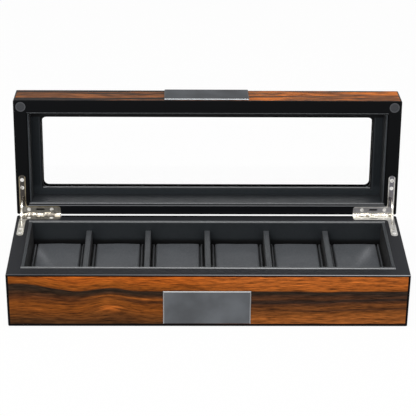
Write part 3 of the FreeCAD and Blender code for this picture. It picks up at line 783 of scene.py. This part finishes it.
def turned_edge(at, base):
    """Paints the turn by the distance outside the window's square: painted shade, a faint painted highlight
    on its edge, and a bright painted highlight on the sill.
    """
    along = along_direction(at, X)
    up = along_direction(at, UP_LID)
    aside = up.math("MAXIMUM", along - float(turn_high[0]), float(turn_low[0]) - along)
    below = float(turn_low[1]) - up
    above = up - float(turn_high[1])
    outside = up.math("MAXIMUM", aside, up.math("MAXIMUM", below, above))
    base = mixed(outside.bell(0.0, 0.55), base, colour(*TURN_HIGHLIGHT))
    base = mixed(1.0 - outside.step(-0.8, -0.3), base, colour(*LID_SHADE))
    base = mixed(above.step(-1.4, -0.6), base, colour(*LID_SHADE))
    sill = below.bell(-1.65, 0.5) * (1.0 - aside.step(-1.8, -1.2))
    return mixed(sill, base, colour(*SILL_HIGHLIGHT))


foot = reach("lid_inner_panel", -UP_LID)
# Painted light towards the panel's foot.
panel_foot = [(-UP_LID, foot - 12.0, foot - 8.0, PANEL_FOOT_LIT_TONE)]
panel = leatherette("panel_leatherette", PANEL_TONE, 0.5, 0.1, panel_foot, [turned_edge])
dress(panel, "lid_inner_panel")
print("window turn from", turn_low.round(1), "to", turn_high.round(1), "mm")

# %% [markdown]
# The hinges are polished nickel, mottled partly by stains where fingers and grease have been and partly by a
# painted reflection of the dark box. The flat faces of their leaves are rubbed duller than the barrels. The
# left-hand hinge is painted darker than the other, with painted shade and reflection.

# %% Nickel
BRIGHT_NICKEL = (240, 236, 226)
STAIN_AND_REFLECTION = (128, 120, 106)
SCREW_HIGHLIGHT = (246, 244, 240)
DULLNESS = 0.7
BARREL_RADIUS = 2.2
PIN_MIDDLE = sum(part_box("hinge_pin_right"), Vector()) / 2


def nickel(name, tone, stain_and_reflection_tone, mottled_from, face=None, metal=1.0):
    """Polished metal with smears, and mottling partly from stains and partly a painted reflection. A face
    gives the painted tone and the dulling of a leaf's flat.
    """
    material, tree, shader = finish(name, {"Metallic": metal})
    at = tree.node("TexCoord", output="Object")
    smear = noise(at, 260.0, 3.0)
    line = noise(stretched(at, 200.0, 4000.0, 4000.0), 1.0, 1.0)
    stain_and_reflection = noise(at, 330.0, 2.0, 0.5, 0.6).step(mottled_from, mottled_from + 0.14) * 0.85
    base = mixed(stain_and_reflection, colour(*tone), colour(*stain_and_reflection_tone))
    if face:
        flat = leaf_flat(at)
        face_tone, dulled = face(at)
        base = mixed(flat, base, mixed(stain_and_reflection * 0.3, face_tone, colour(*stain_and_reflection_tone)))
        feed(shader, Metallic=1.0 - flat * dulled * DULLNESS)
    feed(
        shader,
        Base_Color=base,
        Roughness=0.12 + smear * 0.12 + line * 0.04,
        Normal=bump(line + smear, 0.06, 0.03),
    )
    return material


def leaf_flat(at):
    """0 on the hinge's barrel and 1 on the flat of a leaf, by the distance from the pin."""
    back = along_direction(at, Y) - PIN_MIDDLE.y / MM
    up = along_direction(at, Z) - PIN_MIDDLE.z / MM
    return (back * back + up * up).step(BARREL_RADIUS ** 2, (BARREL_RADIUS + 0.6) ** 2)


bright = nickel("bright_nickel", BRIGHT_NICKEL, STAIN_AND_REFLECTION, mottled_from=0.48)
dress(bright, "hinge_stay_right", "hinge_stay_left")
# The screws are near white and barely metallic: a painted highlight.
screw_nickel = nickel("screw_nickel", SCREW_HIGHLIGHT, STAIN_AND_REFLECTION, mottled_from=0.56, metal=0.2)
dress(screw_nickel, "base_hinge_screws", "lid_hinge_screws")
print("hinge pins at", round(PIN_MIDDLE.z / MM, 1), "mm above the table")

# %% [markdown]
# A leaf is an L let into the corner of its frame, with one leg along the rear and one along the side. Each
# leg catches the light in its own way, so each gets its own tone of painted reflection, and the lid's leaves
# have painted highlights as outlines.

# %% Hinge leaves
SHADED_NICKEL = (204, 198, 186)
SHADED_STAIN = (84, 78, 70)
LEAF_SIDE_WIDTH = 5.8
LEAF_REAR_WIDTH = 7.3
OUTLINE_WIDTH = 0.6
OUTLINE_INSET = 0.2
OUTWARD = {"right": X, "left": -X}


def lid_leaf_face(hand, rear_tone, side_tone, outline_highlight):
    """The face of a lid leaf: a dulled rear leg and a mirror-like side leg, each a tone of painted
    reflection, and a painted highlight along their edges.
    """
    def face(at):
        outward = OUTWARD[hand]
        inward = reach(f"lid_hinge_leaf_{hand}", outward) - along_direction(at, outward)
        raised = along_direction(at, UP_LID) + reach("lid_rear_rail", -UP_LID)
        side_leg = raised.step(LEAF_REAR_WIDTH, LEAF_REAR_WIDTH + 1.0)
        beyond = inward.step(LEAF_SIDE_WIDTH - 1.0, LEAF_SIDE_WIDTH)
        outer = inward.bell(OUTLINE_INSET, OUTLINE_WIDTH)
        inner = inward.bell(LEAF_SIDE_WIDTH - OUTLINE_INSET, OUTLINE_WIDTH) * side_leg
        head = raised.bell(LEAF_REAR_WIDTH - OUTLINE_INSET, OUTLINE_WIDTH) * beyond
        tone = mixed(side_leg, colour(*rear_tone), colour(*side_tone))
        return mixed(outer + inner + head, tone, colour(*outline_highlight)), 1.0 - side_leg
    return face


def base_leaf_face(rear_tone, side_tone):
    """The face of a base leaf: one tone of painted reflection on its leg along the rear and another on its
    side leg.
    """
    def face(at):
        side_leg = (rear - along_direction(at, Y)).step(LEAF_REAR_WIDTH - 0.5, LEAF_REAR_WIDTH + 0.5)
        return mixed(side_leg, colour(*rear_tone), colour(*side_tone)), 1.0
    return face


# Tones of painted reflection for each leg and painted highlights for the lid's outlines; the left hinge is
# painted darker.
HINGES = {
    "right": {
        "metal": (BRIGHT_NICKEL, STAIN_AND_REFLECTION, 0.48),
        "lid": ((150, 149, 152), (112, 110, 116), (214, 211, 206)),
        "base": ((226, 223, 215), (196, 195, 192)),
    },
    "left": {
        "metal": (SHADED_NICKEL, SHADED_STAIN, 0.40),
        "lid": ((132, 129, 122), (72, 69, 66), (164, 152, 126)),
        "base": ((112, 108, 100), (206, 203, 194)),
    },
}
for hand, tones in HINGES.items():
    dress(nickel(f"hinge_pin_{hand}", *tones["metal"]), f"hinge_pin_{hand}")
    lid_face = lid_leaf_face(hand, *tones["lid"])
    dress(nickel(f"lid_leaf_{hand}", *tones["metal"], lid_face), f"lid_hinge_leaf_{hand}")
    base_face = base_leaf_face(*tones["base"])
    dress(nickel(f"base_leaf_{hand}", *tones["metal"], base_face), f"base_hinge_leaf_{hand}")
print("leaves and pins of", len(HINGES), "hinges")

# %% [markdown]
# The two plates are a grey metal with a fine satin, and the magnets sit in dull steel cups.

# %% Plates and magnets
def satin_plate(name, front, shown_edge, bevel_highlight):
    """Grey metal brushed along its length, with hand marks and painted highlights on the bevels at its ends
    and one edge.
    """
    settings = {"Metallic": 1.0, "Specular Tint": (0.5, 0.5, 0.5, 1.0)}
    material, tree, shader = finish(name + "_satin", settings)
    at = tree.node("TexCoord", output="Object")
    brushed = noise(stretched(at, 50.0, 5000.0, 5000.0), 1.0, 2.0)
    cloud = noise(at, 35.0, 3.0)
    base = mixed(cloud.step(0.3, 0.7), colour(86, 88, 91), colour(104, 107, 111))
    for edge in (X, -X, shown_edge):
        bevel = (edge + front).normalized()
        end = reach(name, bevel)
        base = tone_past_level(base, at, bevel, end - 0.2, end - 0.05, bevel_highlight)
    feed(
        shader,
        Base_Color=base,
        Roughness=0.34 + (brushed - 0.5) * 0.16 + (cloud - 0.5) * 0.10,
        Normal=bump(brushed, 0.05, 0.03),
    )
    return material


def magnet_steel(name, tone):
    """Dull grey steel with a fine speckle."""
    material, tree, shader = finish(name, {"Metallic": 0.8})
    at = tree.node("TexCoord", output="Object")
    speck = noise(at, 1800.0, 2.0)
    darker, paler = (colour(*(share * part for part in tone)) for share in (0.9, 1.1))
    feed(
        shader,
        Base_Color=mixed(speck, darker, paler),
        Roughness=0.45 + (speck - 0.5) * 0.2,
        Normal=bump(speck, 0.1, 0.04),
    )
    return material


# The bevel tones are painted highlights.
dress(satin_plate("base_plate", -Y, Z, (176, 178, 180)), "base_plate")
dress(satin_plate("lid_plate", UP_LID, MATING, (110, 112, 114)), "lid_plate")
dress(magnet_steel("cup_steel", (76, 77, 80)), "lid_magnet_cups", "base_steel_discs")
dress(magnet_steel("magnet_steel", (60, 61, 64)), "lid_magnets")
print("plates and magnets ready")

# %% [markdown]
# The window is a clear pane. Under the box there is a felt pad, so that it doesn't scratch the table.

# %% Glass and felt
def clear_glass():
    """Clear glass with the least trace of dust in its gloss."""
    material, tree, shader = finish("clear_glass", {
        "Base Color": WHITE, "Transmission Weight": 1.0, "IOR": 1.2})
    dust = noise(tree.node("TexCoord", output="Object"), 90.0, 3.0)
    feed(shader, Roughness=dust.step(0.55, 0.9) * 0.03)
    return material


def black_felt(name, tone):
    """Short tangled fibres."""
    settings = {"Sheen Weight": 0.3, "Sheen Roughness": 0.6, "Specular IOR Level": 0.2}
    material, tree, shader = finish(name, settings)
    at = tree.node("TexCoord", output="Object")
    tangle = noise(at, 900.0, 4.0, 0.7, 1.5)
    feed(
        shader,
        Base_Color=mixed(tangle, colour(*(0.6 * part for part in tone)), colour(*tone)),
        Roughness=0.85 + (tangle - 0.5) * 0.2,
        Normal=bump(tangle, 0.5, 0.2),
    )
    return material


dress(clear_glass(), "glass_pane")
dress(black_felt("felt", (36, 36, 38)), "base_felt_pad", "base_bottom_board")
print("glass and felt ready")

# %% [markdown]
# Each cushion is a foam pad wrapped in leatherette and sewn to its two side panels, so it has a seam and
# a raised welt along both sides. A plain box with rounded corners would be too stiff. The wrap is drawn
# as a grid round the pad, blown up by cloth simulation between its seams, and the seams are then pulled in.

# %% Cushion form
AROUND = 132
TOP_ROUND = 4.6
FOOT_ROUND = 3.0
STATIONS = (0.0, 0.25, 0.6, 0.95, 1.3, 1.6, 1.9, 2.15, 2.45, 2.75, 3.05, 3.4, 3.9, 4.6, 5.6)
CAP_SHARES = (0.04, 0.35, 0.65, 0.86, 0.96)


def cushion_outline(length, height):
    """Evenly spaced points round a rounded rectangle, and the way out at each: arcs joined by straights."""
    rounds = (FOOT_ROUND, TOP_ROUND, TOP_ROUND, FOOT_ROUND)
    corners = ((1, -1), (1, 1), (-1, 1), (-1, -1))
    quarter = np.linspace(0.0, math.pi / 2, 24)
    points = []
    for index, ((side, up), radius) in enumerate(zip(corners, rounds)):
        angle = quarter + (index - 1) * math.pi / 2
        middle = np.array([side * (length / 2 - radius), up * (height / 2 - radius)])
        points.append(middle + radius * np.stack([np.cos(angle), np.sin(angle)], 1))
    loop = np.concatenate(points + [points[0][:1]])
    travel = np.concatenate([[0.0], np.cumsum(np.linalg.norm(np.diff(loop, axis=0), axis=1))])
    even = np.linspace(0.0, travel[-1], AROUND, endpoint=False)
    ring = np.stack([np.interp(even, travel, loop[:, axis]) for axis in range(2)], 1)
    chord = np.roll(ring, -1, 0) - np.roll(ring, 1, 0)
    out = np.stack([chord[:, 1], -chord[:, 0]], 1)
    return ring, out / np.linalg.norm(out, axis=1, keepdims=True)


def cushion_stations(half):
    """Places across the cushion, close together at the seams, and each row's share of the full outline."""
    seam = np.array(STATIONS)
    middle = np.linspace(-half + 7.0, half - 7.0, 17)
    across = np.concatenate([-half + seam, middle, (half - seam)[::-1]])
    cap = np.array(CAP_SHARES)
    x = np.concatenate([np.full(len(cap), -half), across, np.full(len(cap), half)])
    share = np.concatenate([cap, np.ones(len(across)), cap[::-1]])
    return x, share


def cushion_faces(rows):
    """Quads of a grid that is closed round its columns, with a fan to one point at each end."""
    row = np.arange(rows - 1)[:, None] * AROUND
    column = np.arange(AROUND)[None, :]
    after = (column + 1) % AROUND
    quads = np.stack([row + column, row + after, row + AROUND + after, row + AROUND + column], 2)
    first = rows * AROUND
    last = (rows - 1) * AROUND
    ends = [(first, int(b), int(a)) for a, b in zip(column[0], after[0])]
    ends += [(first + 1, int(last + a), int(last + b)) for a, b in zip(column[0], after[0])]
    return quads.reshape(-1, 4).tolist() + ends


def mesh_piece(name, points, faces):
    """A smooth mesh object from points in metres."""
    mesh = bpy.data.meshes.new(name)
    mesh.from_pydata(points.tolist(), [], faces)
    mesh.polygons.foreach_set("use_smooth", np.ones(len(mesh.polygons), bool))
    piece = bpy.data.objects.new(name, mesh)
    bpy.context.scene.collection.objects.link(piece)
    return piece


print("cushion grid", AROUND, "points round")

# %% [markdown]
# The simulation runs on a copy. Only the wrap between the seams is free: the side panels and the foot are
# pinned. Gravity is off and a small pressure fills the skin. How far a point may move is capped, because
# foam holds the wrap's shape.

# %% Cushion stuffing
PRESSURE = 4.0
FRAMES = 20
SEAM_PLACE = 3.05
SEAM_WIDTH = 0.65
SEAM_DEPTH = 3.2
HELD_PAST_SEAM = 0.1
HELD_FOOT = 0.6
WELT_FALL = 0.7
WELT_ROUND = 0.9
CROWN = 0.4
SWELL_CAP = 0.7


def swollen(points, faces, held):
    """The points after a short cloth simulation, in which the held ones stay."""
    copy = mesh_piece("stuffing", points, faces)
    group = copy.vertex_groups.new(name="held")
    group.add(np.flatnonzero(held).tolist(), 1.0, "REPLACE")
    cloth = copy.modifiers.new("cloth", "CLOTH")
    cloth.settings.quality = 5
    cloth.settings.mass = 0.3
    cloth.settings.use_pressure = True
    cloth.settings.uniform_pressure_force = PRESSURE
    cloth.settings.vertex_group_mass = "held"
    cloth.settings.effector_weights.gravity = 0.0
    cloth.point_cache.frame_end = FRAMES
    scene = bpy.context.scene
    for step in range(1, FRAMES + 1):
        scene.frame_set(step)
    shown = copy.evaluated_get(bpy.context.evaluated_depsgraph_get())
    moved = np.empty(len(points) * 3)
    shown.data.vertices.foreach_get("co", moved)
    scene.frame_set(1)
    bpy.data.objects.remove(copy)
    return moved.reshape(-1, 3)


def cushion_wrap(size):
    """The wrap as a grid about the origin, swollen, with its seams pulled in and its welts standing."""
    half = size[0] / 2
    ring, out = cushion_outline(size[1], size[2])
    x, share = cushion_stations(half)
    inset = CROWN * (x / half) ** 2
    wrap = share[:, None, None] * (ring[None] - out[None] * inset[:, None, None])
    grid = np.concatenate([np.broadcast_to(x[:, None, None], wrap.shape[:2] + (1,)), wrap], 2)
    poles = np.array([[-half, 0.0, 0.0], [half, 0.0, 0.0]])
    points = np.concatenate([grid.reshape(-1, 3), poles])
    faces = cushion_faces(len(x))
    edge = half - np.abs(points[:, 0])
    held = (edge < SEAM_PLACE + HELD_PAST_SEAM) | (points[:, 2] < -size[2] / 2 + HELD_FOOT)
    shift = swollen(points * MM, faces, held) / MM - points
    far = np.linalg.norm(shift, axis=1, keepdims=True)
    points = points + shift * np.minimum(1.0, SWELL_CAP / np.maximum(far, 1e-9))
    seam = SEAM_DEPTH * np.exp(-((half - np.abs(x) - SEAM_PLACE) / SEAM_WIDTH) ** 2)
    fall = WELT_FALL * np.clip(1.0 - (half - np.abs(x)) / WELT_ROUND, 0.0, 1.0) ** 2
    pull = (share == 1.0) * (seam + fall)
    drawn = -out[None] * pull[:, None, None]
    points[:-2, 1:] += drawn.reshape(-1, 2)
    return points, faces


first_low, first_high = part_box("cushion_1")
wrap_size = np.array(first_high - first_low) / MM
wrap_points, wrap_faces = cushion_wrap(wrap_size)
print("wrap of", len(wrap_points), "points and", len(wrap_faces), "faces")

# %% [markdown]
# No two cushions are stuffed quite alike. Each has its own slow lumps, and the two at the ends also have a
# soft fold from the outer rear corner towards the middle of the front.

# %% Lumps and folds
LUMP = 0.16
LUMP_WAVES = 5
LUMP_LENGTHS = (16.0, 40.0)
FOLD = 1.6
FOLD_WIDTH = 4.2
FOLD_RUN_IN = 8.0
FOLD_RUN_OUT = 14.0
FOLD_LINES = {-1: ((-21.0, 27.0), (-11.5, 4.0)), 1: ((13.8, 26.0), (4.3, 4.0))}


def lumps(points, seed):
    """Slow lumps: the sum of seeded plane waves in plan, divided by the root of their number."""
    rng = np.random.default_rng(seed)
    heading = rng.uniform(0.0, 2 * math.pi, LUMP_WAVES)
    wave = 2 * math.pi / rng.uniform(*LUMP_LENGTHS, LUMP_WAVES)
    phase = rng.uniform(0.0, 2 * math.pi, LUMP_WAVES)
    travel = points[:, :1] * np.cos(heading) + points[:, 1:2] * np.sin(heading)
    return LUMP * np.sin(travel * wave + phase).sum(1) / math.sqrt(LUMP_WAVES)


def fold(points, side):
    """A ridge along the fold's line: a bell over the distance from it, fading past both ends."""
    start, end = np.array(FOLD_LINES[side])
    length = np.linalg.norm(end - start)
    run = (end - start) / length
    away = points[:, :2] - start
    aside = away[:, 0] * run[1] - away[:, 1] * run[0]
    onward = away @ run
    fade_in = np.clip(1.0 + onward / FOLD_RUN_IN, 0.0, 1.0)
    fade_out = np.clip(1.0 - (onward - length) / FOLD_RUN_OUT, 0.0, 1.0)
    return FOLD * np.exp(-((aside / FOLD_WIDTH) ** 2)) * (fade_in * fade_out)


print("folds on", len(FOLD_LINES), "cushions")

# %% [markdown]
# The skin is the same leatherette, with painted shade in the seams and down the sides, and a painted
# highlight along a fold.

# %% Skin of the cushions
SKIN = ((90, 93, 97), 0.44, 0.4)
PAINTED_SEAM_SHADE = (4, 4, 5)
SEAM_SHADE = 0.8
SIDE_SHADE = (1.8, 1.4)
FOLD_HIGHLIGHT = (150, 152, 156)
FOLD_SHARE = 0.55
FOLD_RUN = 0.7
first_middle = (first_low.x + first_high.x) / 2 / MM
pitch = (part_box("cushion_2")[0].x - first_low.x) / MM


def shaded_seams(at, base):
    """Paints shade into the seams of the row of cushions and down their sides, by the distance from the
    nearest middle.
    """
    travel = along_direction(at, X) - (first_middle - pitch / 2)
    aside = travel.math("FLOORED_MODULO", travel, pitch) - pitch / 2
    aside = aside.math("ABSOLUTE", aside)
    half = float(wrap_size[0]) / 2
    sides = aside.step(half - SIDE_SHADE[0], half - SIDE_SHADE[1])
    dark = aside.bell(half - SEAM_PLACE, SEAM_SHADE) + sides
    return mixed(dark.math("MINIMUM", dark, 1.0), base, colour(*PAINTED_SEAM_SHADE))


def painted_fold_highlight(name, side):
    """Paints a soft highlight along a fold: a bell across it times a bell along it."""
    low, high = (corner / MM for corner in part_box(name))
    start, end = (Vector((*point, 0.0)) for point in FOLD_LINES[side])
    run = (end - start).normalized()
    across = Vector((-run.y, run.x, 0.0))
    middle = (low + high + start + end) / 2

    def streak(at, base):
        beside = along_direction(at, across).bell(middle.dot(across), FOLD_WIDTH)
        onward = along_direction(at, run).bell(middle.dot(run), FOLD_RUN * (end - start).length)
        return mixed(beside * onward * FOLD_SHARE, base, colour(*FOLD_HIGHLIGHT))

    return streak


cushion_skin = leatherette("cushion_leatherette", *SKIN, details=[shaded_seams])
print("cushions at a pitch of", round(pitch, 1), "mm")

# %% [markdown]
# Each cushion takes a copy of the wrap. Lumps and folds only lift its top, between the seams. It is kept
# inside the sides and above the foot of the CAD pad, so that it can't push into a board.

# %% Six cushions
CUSHION_COUNT = 6
FIRST_SEED = 41
FLAT_BY_SEAM = 1.0
SEAM_FADE = 6.0
TOP_FADE = 3.0


def cushion(name, seed, side):
    """One cushion in its place, with its own lumps and, at the ends of the row, a fold."""
    low, high = (np.array(corner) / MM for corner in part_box(name))
    size = high - low
    points = wrap_points.copy()
    free = size[0] / 2 - np.abs(points[:, 0]) - SEAM_PLACE - FLAT_BY_SEAM
    from_seam = np.clip(free / SEAM_FADE, 0.0, 1.0)
    on_top = np.clip((points[:, 2] - size[2] / 2 + TOP_FADE) / TOP_FADE, 0.0, 1.0)
    lift = lumps(points, seed)
    if side:
        lift = lift + fold(points, side)
    points[:, 2] += lift * from_seam * on_top
    points += (low + high) / 2
    points[:, :2] = np.clip(points[:, :2], low[:2], high[:2])
    points[:, 2] = np.maximum(points[:, 2], low[2])
    piece = mesh_piece(name + "_wrap", points * MM, wrap_faces)
    skin = cushion_skin
    if side:
        skin = leatherette(name + "_skin", *SKIN, details=[painted_fold_highlight(name, side), shaded_seams])
    piece.data.materials.append(skin)
    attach(piece, name)
    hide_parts(name)
    return piece


for index in range(1, CUSHION_COUNT + 1):
    side = {1: -1, CUSHION_COUNT: 1}.get(index, 0)
    piece = cushion(f"cushion_{index}", FIRST_SEED + index - 1, side)
    print(piece.name, len(piece.data.polygons), "faces")
